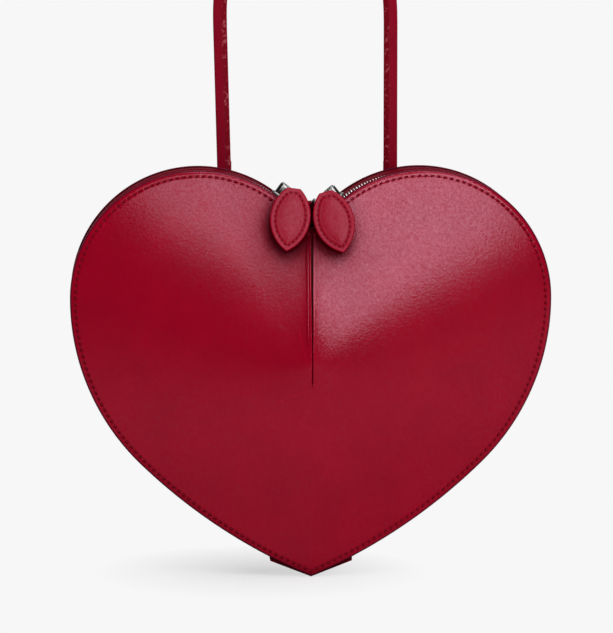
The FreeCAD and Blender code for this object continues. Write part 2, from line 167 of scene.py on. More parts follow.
# Where the frame has the heart's tip, its middle plane and the pulls' cross bars
front_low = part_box("front_panel")[0]
back_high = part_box("back_panel")[1]
tip_height = front_low[2] / MM
middle_y = (front_low[1] + back_high[1]) / 2 / MM
ring_y = -middle_y
bar_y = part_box("left_pull_swivel")[0][1] / MM - middle_y + bar_radius


def place(points):
    """Millimetres from the heart's tip to metres in the row frame."""
    return (np.asarray(points, float) + (0, middle_y, tip_height)) * MM


# Materials

cloud_scale, fleck_scale, crease_scale, pore_scale = 45, 550, 780, 1500
crease_depth, pore_depth, scratch_depth, weave_depth = 0.08 * MM, 0.04 * MM, 0.02 * MM, 0.1 * MM
# Painted shadow under the leaves: how far it looks for cover, and the side its light comes from.
painted_shadow_reach, open_side = 23 * MM, (0.5, 0, 1.3)


def material(name):
    made = bpy.data.materials.new(name)
    made.use_nodes = True
    return made, made.node_tree.nodes, made.node_tree.links, made.node_tree.nodes["Principled BSDF"]


def grey(level):
    return (level, level, level)


def noise(nodes, links, scale, detail, stretch=(1, 1, 1)):
    coords = nodes.new("ShaderNodeTexCoord")
    spread = nodes.new("ShaderNodeMapping")
    spread.inputs["Scale"].default_value = stretch
    texture = nodes.new("ShaderNodeTexNoise")
    texture.inputs["Scale"].default_value = scale
    texture.inputs["Detail"].default_value = detail
    links.new(coords.outputs["Object"], spread.inputs["Vector"])
    links.new(spread.outputs["Vector"], texture.inputs["Vector"])
    return texture.outputs["Fac"]


def ramp(nodes, links, value, stops):
    """Colours along a value from 0 to 1."""
    made = nodes.new("ShaderNodeValToRGB")
    while len(made.color_ramp.elements) < len(stops):
        made.color_ramp.elements.new(0.5)
    for element, (position, colour) in zip(made.color_ramp.elements, stops):
        element.position = position
        element.color = (*colour, 1)
    links.new(value, made.inputs["Fac"])
    return made.outputs["Color"]


def spread_over(nodes, links, value, low, high, first=0.3, last=0.7):
    """A value between two marks, mapped to run from low to high."""
    made = nodes.new("ShaderNodeMapRange")
    made.inputs["From Min"].default_value = first
    made.inputs["From Max"].default_value = last
    made.inputs["To Min"].default_value = low
    made.inputs["To Max"].default_value = high
    links.new(value, made.inputs["Value"])
    return made.outputs["Result"]


def bump(nodes, links, height, distance, strength, under=None):
    made = nodes.new("ShaderNodeBump")
    made.inputs["Distance"].default_value = distance
    made.inputs["Strength"].default_value = strength
    links.new(height, made.inputs["Height"])
    if under:
        links.new(under, made.inputs["Normal"])
    return made.outputs["Normal"]


def painted_shadow_openness(nodes, links):
    """How open a spot is to light from above and the right, from 0 under a leaf to 1 in the open, for the
    leather's painted shadow.
    """
    normal = nodes.new("ShaderNodeNewGeometry").outputs["Normal"]
    upwards = nodes.new("ShaderNodeMapping")
    upwards.inputs["Location"].default_value = open_side
    links.new(normal, upwards.inputs["Vector"])
    made = nodes.new("ShaderNodeAmbientOcclusion")
    made.samples = 8
    made.inputs["Distance"].default_value = painted_shadow_reach
    links.new(upwards.outputs["Vector"], made.inputs["Normal"])
    return made.outputs["AO"]


def times(nodes, links, first, second):
    """Two colours multiplied."""
    made = nodes.new("ShaderNodeMix")
    made.data_type = "RGBA"
    made.blend_type = "MULTIPLY"
    made.inputs["Factor"].default_value = 1
    links.new(first, made.inputs["A"])
    links.new(second, made.inputs["B"])
    return made.outputs["Result"]


def leather(name, colour, rough, grain=0.5, gloss=0.4, flecks=None):
    """Smooth calf leather: a grainy sheen, cloudy dye, wear on its edges, and painted shadow that darkens it
    and dims its sheen where a leaf or other part covers it from the light.
    """
    made, nodes, links, shader = material(name)
    cloud = noise(nodes, links, fleck_scale if flecks else cloud_scale, 4)
    dark = tuple(0.88 * c for c in colour)
    stops = [(0.35, dark), (0.56, colour), (0.66, flecks)] if flecks else [(0.3, dark), (0.7, colour)]
    dye = ramp(nodes, links, cloud, stops)
    # Lighter on sharp edges, where the leather wears, and darker in hollows.
    edges = nodes.new("ShaderNodeNewGeometry").outputs["Pointiness"]
    edge_tone = ramp(nodes, links, edges, [(0.44, grey(0.7)), (0.5, grey(1)), (0.58, grey(1.25))])
    # Painted shadow: colour darkened and sheen dimmed where a leaf or other part covers the leather from the
    # light above and to the right.
    openness = painted_shadow_openness(nodes, links)
    shade = ramp(nodes, links, openness, [(0.45, grey(0.2)), (0.76, grey(1))])
    links.new(times(nodes, links, times(nodes, links, dye, edge_tone), shade), shader.inputs["Base Color"])
    pores = noise(nodes, links, pore_scale, 3)
    creases = noise(nodes, links, crease_scale, 5)
    shine = spread_over(nodes, links, openness, 0.02 * gloss, gloss, 0.56, 0.8)
    links.new(spread_over(nodes, links, creases, 0.65 * gloss, 1.35 * gloss), shine.node.inputs["To Max"])
    links.new(shine, shader.inputs["Specular IOR Level"])
    shader.inputs["Specular Tint"].default_value = (1, 0.6, 0.8, 1)
    links.new(spread_over(nodes, links, pores, rough - 0.04, rough + 0.06), shader.inputs["Roughness"])
    fine = bump(nodes, links, pores, pore_depth, grain)
    links.new(bump(nodes, links, creases, crease_depth, grain, fine), shader.inputs["Normal"])
    return made


def steel(name, dark, light):
    """Polished zip metal with fine scratches."""
    made, nodes, links, shader = material(name)
    scratches = noise(nodes, links, 900, 4, (1, 6, 1))
    tone = ramp(nodes, links, scratches, [(0.3, grey(dark)), (0.7, grey(light))])
    links.new(tone, shader.inputs["Base Color"])
    shader.inputs["Metallic"].default_value = 1
    links.new(spread_over(nodes, links, scratches, 0.14, 0.28), shader.inputs["Roughness"])
    links.new(bump(nodes, links, scratches, scratch_depth, 0.4), shader.inputs["Normal"])
    return made


def cloth(name, colour, scale, rough=0.85):
    """Woven or felted cloth."""
    made, nodes, links, shader = material(name)
    weave = nodes.new("ShaderNodeTexWave")
    weave.inputs["Scale"].default_value = scale
    weave.inputs["Distortion"].default_value = 2
    coords = nodes.new("ShaderNodeTexCoord")
    links.new(coords.outputs["Object"], weave.inputs["Vector"])
    fuzz = noise(nodes, links, 2 * scale, 3)
    dark = tuple(0.7 * c for c in colour)
    links.new(ramp(nodes, links, fuzz, [(0.3, dark), (0.7, colour)]), shader.inputs["Base Color"])
    shader.inputs["Roughness"].default_value = rough
    shader.inputs["Specular IOR Level"].default_value = 0.1
    links.new(bump(nodes, links, weave.outputs["Fac"], weave_depth, 0.6), shader.inputs["Normal"])
    return made


panel_leather = leather("panel_leather", (0.272, 0.0002, 0.0112), 0.14)
gusset_leather = leather("gusset_leather", (0.16, 0.0006, 0.009), 0.65, gloss=0.03)
edge_paint = leather("edge_paint", (0.11, 0.0008, 0.012), 0.4, grain=0.2, gloss=0.15)
pull_leather = leather("pull_leather", (0.285, 0.0015, 0.014), 0.28, grain=0.6, gloss=0.22)
strap_leather = leather("strap_leather", (0.21, 0.0008, 0.011), 0.5, grain=0.8, gloss=0.1)
# A darker copy of the strap leather, painted shade for the strap's inner facet, with pale flecks of wear.
worn_shaded_leather = leather("worn_shaded_strap_leather", (0.16, 0.0008, 0.007), 0.5, grain=0.8, gloss=0.08,
                       flecks=(0.3, 0.05, 0.06))
thread = cloth("thread", (0.21, 0.0008, 0.012), 1800, 0.7)
tape_cloth = cloth("zip_tape_cloth", (0.1, 0.003, 0.01), 1400)
lining_cloth = cloth("lining_cloth", (0.08, 0.004, 0.01), 1100)
felt = cloth("felt", (0.3, 0.1, 0.1), 700)
board_fibre = cloth("board_fibre", (0.03, 0.01, 0.01), 300)
metal = steel("zip_steel", 0.12, 0.28)
tooth_metal = steel("tooth_steel", 0.7, 0.9)


def dress(finish, *names):
    """Give CAD nodes that stay in view a material."""
    for name in names:
        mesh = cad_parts[name].data
        mesh.materials.clear()
        mesh.materials.append(finish)
        mesh.shade_smooth()
        mesh.set_sharp_from_angle(angle=math.radians(35))


dress(board_fibre, "front_board", "back_board")
dress(lining_cloth, "front_lining", "back_lining", "inner_pocket", "gusset_lining")
dress(felt, "left_leaf_filler", "right_leaf_filler")
dress(metal, "zip_stops", "strap_tab_rivets", "strap_rivets", "left_strap_ring", "right_strap_ring",
      "left_pull_swivel", "right_pull_swivel")


# Making meshes

class Shape:
    """Points and faces gathered for one piece, in millimetres. A face's mark picks its material."""

    def __init__(self):
        self.points, self.faces, self.marks, self.count = [], [], [], 0

    def add(self, points, faces):
        points = np.asarray(points, float).reshape(-1, 3)
        self.points.append(points)
        self.faces += [tuple(i + self.count for i in f) for f in faces]
        self.marks += [0] * len(faces)
        self.count += len(points)
        return self

    def loft(self, loops):
        """Skin over a row of loops of points, with flat ends."""
        loops = np.asarray(loops, float)
        rows, n = loops.shape[:2]
        faces = []
        for a in range(0, (rows - 1) * n, n):
            b = a + n
            faces += [(a + i, a + (i + 1) % n, b + (i + 1) % n, b + i) for i in range(n)]
        faces += [tuple(range(n))[::-1], tuple((rows - 1) * n + i for i in range(n))]
        return self.add(loops, faces)

    def moved(self, change):
        self.points = [change(p) for p in self.points]
        return self

    def make(self, name, body, slot, finishes, replaced=(), sharp=40.0):
        """Make the piece and put it on its body, in place of the CAD nodes it stands for."""
        mesh = bpy.data.meshes.new(name)
        mesh.from_pydata(place(np.concatenate(self.points)).tolist(), [], self.faces)
        for finish in finishes:
            mesh.materials.append(finish)
        mesh.polygons.foreach_set("material_index", self.marks)
        work = bmesh.new()
        work.from_mesh(mesh)
        bmesh.ops.recalc_face_normals(work, faces=work.faces)
        work.to_mesh(mesh)
        work.free()
        mesh.shade_smooth()
        mesh.set_sharp_from_angle(angle=math.radians(sharp))
        piece = bpy.data.objects.new(name, mesh)
        bpy.context.collection.objects.link(piece)
        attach(piece, body)
        if replaced:
            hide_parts(*replaced)
        return piece


def round_rect(width, height, radius, steps=4):
    """A rounded rectangle about zero, as pairs."""
    least = 1e-4
    radius = min(radius, width / 2 - least, height / 2 - least)
    corners = [(1, 1, 0), (-1, 1, 90), (-1, -1, 180), (1, -1, 270)]
    pairs = []
    for sx, sy, start in corners:
        for k in range(steps + 1):
            a = math.radians(start + 90 * k / steps)
            pairs.append((sx * (width / 2 - radius) + radius * math.cos(a),
                          sy * (height / 2 - radius) + radius * math.sin(a)))
    return np.array(pairs)


def along(points):
    """Distance along a row of points."""
    return np.concatenate([[0], np.cumsum(np.linalg.norm(np.diff(points, axis=0), axis=1))])


def directions(points):
    """The way a row of points runs at each of them."""
    runs = np.concatenate([points[1:], points[-1:]]) - np.concatenate([points[:1], points[:-1]])
    return runs / np.linalg.norm(runs, axis=1)[:, None]


def folded(x, path, sections):
    """Loops of a strip at x along a path of (y, z) points, with a section at each point."""
    path = np.asarray(path, float)
    loops = []
    for (y, z), (run_y, run_z), section in zip(path, directions(path), sections):
        loops.append([(x + u, y - run_z * v, z + run_y * v) for u, v in section])
    return loops


# Outline and dome

arc_counts = (14, 180, 90, 180)


def half_outline(inset):
    """Points along the right half of the heart from the cleft to the tip, drawn in by an inset."""
    to_cleft = math.atan2(cleft_z - lobe_z, -lobe_x)
    tip = -math.acos(-lower_x / (lower_radius - inset))
    runs = [
        (0, cleft_z, cleft_radius + inset, -math.pi / 2, to_cleft - math.pi),
        (lobe_x, lobe_z, lobe_radius - inset, to_cleft, 0),
        (side_x, lobe_z, side_radius - inset, 0, -sweep),
        (lower_x, lower_z, lower_radius - inset, -sweep, tip),
    ]
    points = []
    for (x, z, radius, first, last), count in zip(runs, arc_counts):
        a = np.linspace(first, last, count, endpoint=False)
        points.append(np.stack([x + radius * np.cos(a), z + radius * np.sin(a)], 1))
    points.append(np.array([[0.0, lower_z + (lower_radius - inset) * math.sin(tip)]]))
    return np.concatenate(points)


def outline(inset):
    """The whole rim from the cleft, right, round the tip and back to the cleft."""
    right = half_outline(inset)
    return np.concatenate([right, right[-2::-1] * (-1, 1)])


def rim_distance(x, z):
    """From the peak to the rim through (x, z), with the cleft bridged level with the lobes' tops."""
    least = 1e-6
    reach = np.maximum(np.hypot(x, z - peak_z), least)
    dx, dz = np.abs(x) / reach, (z - peak_z) / reach

    def hit(cx, cz, radius):
        forward = dx * cx + dz * (cz - peak_z)
        return forward + np.sqrt(np.maximum(forward**2 - cx**2 - (cz - peak_z) ** 2 + radius**2, 0))

    lobe = hit(lobe_x, lobe_z, lobe_radius)
    side = hit(side_x, lobe_z, side_radius)
    lower = hit(lower_x, lower_z, lower_radius)
    far = np.where(peak_z + side * dz >= lobe_z - side_radius * math.sin(sweep), side, lower)
    far = np.where(peak_z + lobe * dz >= lobe_z, lobe, far)
    level = (heart_top - peak_z) / np.maximum(dz, least)
    return np.where((dz > 0) & (level * dx <= lobe_x), level, far)


def dome(x, z):
    """How far the panel stands forward of its rim: nearly a cone, with a ridge along the dart."""
    share = np.hypot(x, z - peak_z) / rim_distance(x, z)
    rounded = np.sqrt((share**2 + peak_round_share**2) / (1 + peak_round_share**2))
    climb = np.clip((z - peak_z + ridge_drop) / ridge_fade, 0, 1)
    fade = climb * climb * (3 - 2 * climb)
    upper = np.clip((z - peak_z - ridge_fade) / (cleft_z - peak_z - ridge_fade), 0, 1)
    height = ridge_height * fade * (1 - ridge_loss_share * upper)
    ridge = height * np.exp(-np.hypot(x, ridge_foot_width * (1 - fade)) / ridge_spread)
    return dome_height * (1 - rounded**dome_power) + ridge


def dome_at(x, z):
    """The dome's height at one spot."""
    return float(dome(np.array([x]), np.array([z]))[0])


def dome_normal(x, z):
    """The front face's outward direction."""
    step = 0.5
    dx = (dome(x + step, z) - dome(x - step, z)) / (2 * step)
    dz = (dome(x, z + step) - dome(x, z - step)) / (2 * step)
    normal = np.stack([-dx, -np.ones_like(dx), -dz], 1)
    return normal / np.linalg.norm(normal, axis=1)[:, None]


# Camera and strap, first

def outward(azimuth, elevation):
    """A direction from the purse in degrees, with azimuth 0 at the front and 90 at the right."""
    a, e = math.radians(azimuth), math.radians(elevation)
    return Vector((math.sin(a) * math.cos(e), -math.cos(a) * math.cos(e), math.sin(e)))


camera_azimuth, camera_elevation, camera_distance = -2.6, 6.0, 2.0
view_height = 315.2 * MM
view_middle = place([-2.4, -face, 131.0])
scene = bpy.context.scene
camera = bpy.data.objects.new("camera", bpy.data.cameras.new("camera"))
bpy.context.collection.objects.link(camera)
scene.camera = camera
camera_side = outward(camera_azimuth, camera_elevation)
camera.location = Vector(view_middle) + camera_side * camera_distance
camera.rotation_mode = "QUATERNION"
camera.rotation_quaternion = (-camera_side).to_track_quat("-Z", "Y")
camera.data.lens = camera.data.sensor_width * camera_distance / view_height
camera.data.clip_end = 50


def strap_line():
    """The strap's middle line from ring to ring, read from a smooth curve through its route."""
    rise = strap_top - ring_z
    route = [(-strap_x - strap_lean * k, 0, ring_z + rise * k) for k in np.linspace(0, 1, 5)]
    middle, reach = -strap_lean / 2, strap_x + strap_lean / 2
    for a in np.linspace(0, math.pi, 15)[1:-1]:
        route.append((middle - reach * math.cos(a), 0, strap_top + strap_x * math.sin(a)))
    route += [(strap_x, 0, z) for z in np.linspace(strap_top, ring_z, 5)]
    curve = bpy.data.curves.new("strap_route", "CURVE")
    curve.dimensions = "3D"
    spline = curve.splines.new("NURBS")
    spline.points.add(len(route) - 1)
    for point, spot in zip(spline.points, route):
        point.co = (*spot, 1)
    spline.order_u = 3
    spline.use_endpoint_u = True
    spline.resolution_u = 6
    holder = bpy.data.objects.new("strap_route", curve)
    mesh = bpy.data.meshes.new_from_object(holder)
    points = np.array([v.co for v in mesh.vertices])
    bpy.data.objects.remove(holder)
    bpy.data.curves.remove(curve)
    bpy.data.meshes.remove(mesh)
    return points + (0, ring_y, 0)


def strap_section(thick):
    """Folded leather: flat behind, two facets meeting at a low ridge in front."""
    half = strap_width / 2
    edge = [(0, 0.1), (0.35, -0.55), (0.9, -0.85)]
    crest = [(-0.35, -1.12), (0, -1.2), (0.35, -1.12)]
    heel = [(0.2, 0.75), (0.7, 1.1), (1.3, 1.2)]
    pairs = [(u - half, v) for u, v in edge]
    pairs += [(strap_ridge + u, v) for u, v in crest]
    pairs += [(half - u, v) for u, v in edge[::-1] + heel]
    pairs += [(0, 1.2)]
    pairs += [(u - half, v) for u, v in heel[::-1]]
    return np.array(pairs) * (1, thick / strap_thickness)


def build_strap(points):
    """The strap along its middle line, its inner facet darker as painted shade and flecked with wear, with
    each end folded round its ring.
    """
    # The inner facet's faces take the darker leather: painted shade, with flecks of wear.
    worn_shaded_facet = (1, 2, 3)
    shape = Shape()
    distance = along(points)
    loops = []
    for spot, run, at in zip(points, directions(points), distance):
        side = np.cross(run, (0, 1, 0))
        from_end = min(at, distance[-1] - at, strap_end_run)
        drop = -strap_end_step * (0.5 + 0.5 * math.cos(math.pi * from_end / strap_end_run))
        thick = strap_thickness * (strap_end_share if from_end < strap_end_run else 1)
        loops.append([spot + side * u + (0, v + drop, 0) for u, v in strap_section(thick)])
    shape.loft(loops)
    shape.marks[:-2] = [int(i in worn_shaded_facet) for _ in loops[1:] for i in range(len(loops[0]))]
    turns = np.radians(np.linspace(-90, 90, 13))
    path = [(strap_eye_radius * math.sin(a), -strap_eye_radius * math.cos(a)) for a in turns]
    path += [(strap_eye_radius, z) for z in (2.0, 5.0)]
    path += [(strap_tail_y, z) for z in (8.0, 11.0, 13.0, 14.0)]
    path = np.array(path) + (ring_y, ring_z)
    sections = [round_rect(strap_width, strap_tail_thickness, 0.5)] * (len(path) - 1)
    sections.append(round_rect(strap_width - 1.2, strap_tail_thickness - 0.4, 0.5))
    for x in (-strap_x, strap_x):
        shape.loft(folded(x, path, sections))
    finishes = [strap_leather, worn_shaded_leather]
    return shape.make("strap_leather_band", "strap", "strap_leather", finishes, ["strap"])


strap_points = strap_line()
strap = build_strap(strap_points)


# Panels

fine_insets = [7.0, 6.0, 5.0, 4.4, 3.9, 3.6, 3.3, 3.1, 2.9, 2.7, 2.5, 2.2, 1.9, 1.5, 1.15]
edge_profile = [
    (0.8, 1.6), (0.5, 1.53), (0.25, 1.38), (0.08, 1.15), (0.0, 0.8), (0.02, 0.34), (0.12, 0.14), (0.3, 0.03),
    (0.5, 0.0),
]
flange_insets = (3.0, 7.0)
front_rings, front_ring_power, back_rings = 56, 0.85, 18
dart_gap_half, lip_round = 0.38, 0.6
groove_depth, groove_spread, edge_drop = 0.18, 0.45, 0.3


def seam_line(sign):
    """The line that the panel's stitches follow."""
    sunk = 0.1
    rim = outline(stitch_inset)
    return np.stack([rim[:, 0], sign * (face - sunk + dome(rim[:, 0], rim[:, 1])), rim[:, 1]], 1)


def groove(inset, turns):
    """How far the seam draws the leather in, deepest under each stitch."""
    dimple = 0.5 - 0.5 * np.cos(2 * math.pi * turns)
    return groove_depth * (0.25 + 0.75 * dimple) * np.exp(-(((inset - stitch_inset) / groove_spread) ** 2))


def edge_roll(inset):
    """How far the leather outside the seam rolls back towards its edge."""
    return edge_drop * (max(stitch_inset - inset, 0) / stitch_inset) ** 2


def panel_ring(points, base, draw_in):
    """A ring of (x, depth, z) points on the dome, parted and rounded along the dart."""
    x, z = points[:, 0], points[:, 1]
    gap = dart_gap_half * np.clip((z - peak_z) / (cleft_foot - peak_z), 0, 1)
    lips = np.where(np.arange(len(x)) < len(x) / 2, gap, -gap)
    x = np.where((z > peak_z) & (np.abs(x) < gap), lips, x)
    lip = np.clip(lip_round - (np.abs(x) - gap), 0, lip_round) * (z > peak_z + 1)
    roll = lip_round - np.sqrt(np.maximum(lip_round**2 - lip**2, 0))
    outer = base > seat + panel_thickness / 3
    return np.stack([x, base + dome(x, z) - draw_in - roll * outer, z], 1)


def panel_rows():
    """Rings from the peak out over the edge and back inside, and which of them have painted edges."""
    turns = along(seam_line(1))
    turns = turns / turns[-1] * round(turns[-1] / stitch_pitch)
    peak = np.array((0, peak_z))
    inner_edge = outline(fine_insets[0])
    rows = []
    for k in np.linspace(0, 1, front_rings)[1:-1] ** front_ring_power:
        rows.append(panel_ring(peak + (inner_edge - peak) * k, face, 0))
    for inset in fine_insets:
        rows.append(panel_ring(outline(inset), face, groove(inset, turns) + edge_roll(inset)))
    marks = [0] * len(rows) + [1] * len(edge_profile)
    for inset, height in edge_profile:
        rows.append(panel_ring(outline(inset), seat + height, edge_roll(inset) * height / panel_thickness))
    for inset in flange_insets:
        rows.append(panel_ring(outline(inset), seat, 0))
    for k in np.linspace(1, 0, back_rings)[1:-1]:
        rows.append(panel_ring(peak + (inner_edge - peak) * k, seat, 0))
    return rows, marks + [0] * (len(rows) - len(marks))


def lip_faces(front_run, back_run):
    """Triangles that close one lip of the dart, between its points in front and those behind."""
    i = j = 0
    front_last, back_last = len(front_run) - 1, len(back_run) - 1
    triangles = []
    while i < front_last or j < back_last:
        front_next = (i + 1) / len(front_run) <= (j + 1) / len(back_run)
        if j == back_last or (i < front_last and front_next):
            triangles.append((front_run[i], front_run[i + 1], back_run[j]))
            i += 1
        else:
            triangles.append((front_run[i], back_run[j + 1], back_run[j]))
            j += 1
    return [corners for corners in triangles if len(set(corners)) == 3]


def build_panel(side):
    """One panel, closed along its dart, with paint on its edges."""
    rows, marks = panel_rows()
    n, count = len(rows[0]), len(rows)
    top = dome_at(0.0, peak_z)
    points = [np.array([[0, face + top, peak_z]]), *rows, np.array([[0, seat + top, peak_z]])]
    last = 1 + count * n
    faces, kinds = [], []
    for i in range(n - 1):
        faces.append((0, 1 + i, 2 + i))
        for a in range(1 + i, 1 + i + (count - 1) * n, n):
            faces.append((a, a + n, a + n + 1, a + 1))
        faces.append((last - n + i, last, last - n + i + 1))
        kinds += [0, *marks[:-1], 0]
    edge_middle = marks.index(1) + 4
    for first, flip in ((1, False), (n, True)):
        lip = [0] + [first + r * n for r in range(count)] + [last]
        triangles = lip_faces(lip[: edge_middle + 1], lip[edge_middle:][::-1])
        faces += [corners if flip else corners[::-1] for corners in triangles]
        kinds += [1] * len(triangles)
    sign = -1 if side == "front" else 1
    shape = Shape().add(np.concatenate(points) * (1, sign, 1), faces)
    shape.marks = kinds
    name = side + "_panel"
    return shape.make(name + "_leather", "bag", "panel_leather", [panel_leather, edge_paint], [name], 50)


def stitches(spots, runs, normals, slant=stitch_slant, length=stitch_length, radius=stitch_radius):
    """Short slanted stitches, each a soft capsule with its ends in the leather."""
    proud, dive, taper, flatness = 0.16, 0.42, 0.72, 0.9
    around = np.linspace(0, 2 * math.pi, 8, endpoint=False)
    shape = Shape()
    for spot, run, normal in zip(spots, runs, normals):
        run = run - normal * (run @ normal)
        run /= np.linalg.norm(run)
        side = np.cross(normal, run)
        lead = run * math.cos(slant) + side * math.sin(slant)
        across = np.cross(normal, lead)
        loops = []
        for s in (-1, -0.86, -0.55, 0, 0.55, 0.86, 1):
            girth = radius * (1 - taper * abs(s) ** 4)
            middle = spot + lead * (s * length / 2) + normal * (proud - dive * s * s)
            loops.append([middle + normal * (girth * math.sin(a) * flatness) + across * girth * math.cos(a)
                          for a in around])
        shape.loft(loops)
    return shape


def spaced(points, pitch):
    """Spots an equal pitch apart along a row of points, with the directions of the run there."""
    step = 0.3
    run = along(points)
    count = max(int(round(run[-1] / pitch)), 1)
    at = (np.arange(count) + 0.5) * run[-1] / count

    def spots_at(places):
        return np.stack([np.interp(places, run, points[:, k]) for k in range(3)], 1)

    runs = spots_at(at + step) - spots_at(at - step)
    return spots_at(at), runs / np.linalg.norm(runs, axis=1)[:, None]


def panel_stitches(side):
    """The seam round a panel, left open where the dart runs out into the cleft."""
    dart_clear = 1.2
    sign = -1 if side == "front" else 1
    spots, runs = spaced(seam_line(sign), stitch_pitch)
    normals = dome_normal(spots[:, 0], spots[:, 2]) * (1, -sign, 1)
    keep = (np.abs(spots[:, 0]) > dart_clear) | (spots[:, 2] < peak_z)
    shape = stitches(spots[keep], runs[keep], normals[keep], -sign * stitch_slant)
    return shape.make(side + "_panel_stitches", "bag", "panel_leather", [thread])


def dart_strip(side):
    """The raised strip on the dart's left lip: two fine welts side by side."""
    rise, top_gap, swell_run = 18.0, 2.0, 7.0
    profile = np.array([
        (-0.5, -0.3), (-0.52, 0.12), (-0.75, 0.34), (-1.05, 0.38), (-1.35, 0.27), (-1.62, 0.18), (-1.9, 0.24),
        (-2.2, 0.32), (-2.5, 0.26), (-2.72, 0.05), (-2.8, -0.3),
    ])
    x, height = profile[:, 0], profile[:, 1]
    low, high = peak_z + rise, cleft_foot - top_gap
    sign = -1 if side == "front" else 1
    loops = []
    for z in np.concatenate([low + np.array([0, 1, 2.5, 4.5, 7]), np.linspace(low + 10, high, 40)]):
        swell = min((z - low) / swell_run + 0.05, 1)
        level = np.full_like(x, z)
        y = face + dome(x, level) + np.where(height > 0, height * swell, height)
        loops.append(np.stack([x, sign * y, level], 1))
    name = side + "_dart_strip"
    return Shape().loft(loops).make(name + "_leather", "bag", "panel_leather", [panel_leather], [name])


for side in ("front", "back"):
    build_panel(side)
    panel_stitches(side)
for side in ("front", "back"):
    dart_strip(side)


# Gusset, zip facings and tapes

def lobe_angle(x, z):
    """How far a spot lies round its lobe, from the lobe's top outwards."""
    return np.arctan2(np.abs(x) - lobe_x, z - lobe_z)


rim = outline(0)
columns = np.arange(len(rim))
zipped = (lobe_angle(rim[:, 0], rim[:, 1]) <= zip_end) & (rim[:, 1] > lobe_z)
zip_right = columns[(columns < len(rim) / 2) & zipped]
zip_left = columns[(columns > len(rim) / 2) & zipped]
zip_run = np.concatenate([zip_left, zip_right[1:]])
lower_run = columns[zip_right[-1]: zip_left[0] + 1]


def from_slider(x, z):
    """How far a spot on the zip lies from its slider at rest, from 0 beside it to 1 well away."""
    near, run = math.radians(11), math.radians(20)
    rest = np.where(x < 0, slider_rest["left"], slider_rest["right"])
    return np.clip((lobe_angle(x, z) - rest - near) / run, 0, 1)


def wall(run, outer, inner, first, last, rounding, bulge=0.0, pare=0.0):
    """A strip of leather along the rim, between two depths at each column, pared down near the sliders."""
    loops = []
    for c, o, i in zip(run, outline(outer)[run], outline(inner)[run]):
        thick = np.linalg.norm(o - i)
        out = (o - i) / thick
        a, b = first[c], last[c]
        loop = []
        for u, v in round_rect(abs(b - a), thick, rounding, 3):
            lift = v + thick / 2
            swell = bulge * (1 - (2 * u / abs(b - a)) ** 2) * (v > 0)
            pared = pare * (1 - float(from_slider(*o))) * lift / thick * (0.5 + u / (b - a)) ** 2
            spot = i + out * (lift + swell - pared)
            loop.append((spot[0], (a + b) / 2 + u, spot[1]))
        loops.append(loop)
    return Shape().loft(loops)


def gusset_depths():
    """How far the gusset reaches from the middle plane: further where the panels rise over the cleft."""
    x, z = outline(panel_overhang).T
    return seat + np.where((np.abs(x) < lobe_x) & (z > lobe_z), np.maximum(dome(x, z), 0), 0)


def build_gusset():
    """The gusset below the zip, the facings along it and the zip's tapes."""
    depth = gusset_depths()
    slot_edge = np.full_like(depth, zip_slot / 2)
    tape_near = np.full_like(depth, tooth_slot / 2 + tooth_depth)
    wall(lower_run, panel_overhang, wall_inset, -depth, depth, 0.3, gusset_bulge).make(
        "bottom_gusset_leather", "bag", "gusset_leather", [gusset_leather], ["bottom_gusset"])
    for side, sign in (("front", -1), ("rear", 1)):
        facing, tape = side + "_zip_facing", side + "_zip_tape"
        wall(zip_run, panel_overhang, wall_inset, sign * depth, sign * slot_edge, 0.5, pare=1.0).make(
            facing + "_leather", "bag", "gusset_leather", [gusset_leather], [facing])
        tape_far = tape_near + tape_width
        wall(zip_run, wall_inset, wall_inset + tape_thickness, sign * tape_far, sign * tape_near, 0.2).make(
            tape + "_cloth", "bag", "zip_tape", [tape_cloth], [tape])


def cleft_fold():
    """A soft fold of the rear facing's leather, which stands up where the cleft bends too sharply for it."""
    radius, centre_z, reach = 24.0, 210.4, 15.0
    middle, depth, sunk = 10.4, 10.8, 0.6
    heart = half_outline(panel_overhang)[: arc_counts[0] + arc_counts[1] // 2]
    loops = []
    for x in np.linspace(-reach, reach, 41):
        low = float(np.interp(abs(x), heart[:, 0], heart[:, 1])) - sunk
        high = max(centre_z - math.sqrt(radius**2 - x**2), low + sunk / 2)
        loops.append([(x, middle + u, (low + high) / 2 + v) for u, v in round_rect(depth, high - low, 1.0)])
    return Shape().loft(loops).make("cleft_fold_leather", "bag", "gusset_leather", [gusset_leather])


def tip_patch():
    """The patch that wraps the tip, straight along its lower edges."""
    reach, rise, drop, least = 20.5, 7.6, 0.4, 0.15
    heart = half_outline(panel_overhang)[: -arc_counts[-1]: -1]
    loops = []
    for x in np.linspace(-reach, reach, 61):
        low = -drop + (rise + drop) * abs(x) / reach
        high = max(float(np.interp(abs(x), heart[:, 0], heart[:, 1])), low + least)
        section = round_rect(2 * seat, high - low, min(0.5, (high - low) / 2.2), 3)
        loops.append([(x, u, (low + high) / 2 + v) for u, v in section])
    return Shape().loft(loops).make(
        "tip_patch_leather", "bag", "gusset_leather", [gusset_leather], ["tip_patch"])


build_gusset()
cleft_fold()
tip_patch()


# Zip teeth

def block(length, depth, height, rounding):
    """A small rounded block about zero as loops along its height."""
    loops = []
    for share, pull_share in ((-1, 1), (-0.8, 0.15), (0, 0), (0.8, 0.15), (1, 1)):
        inset = pull_share * rounding
        section = round_rect(length - 2 * inset, depth - 2 * inset, rounding, 2)
        loops.append([(u, v, share * height / 2) for u, v in section])
    return np.array(loops)


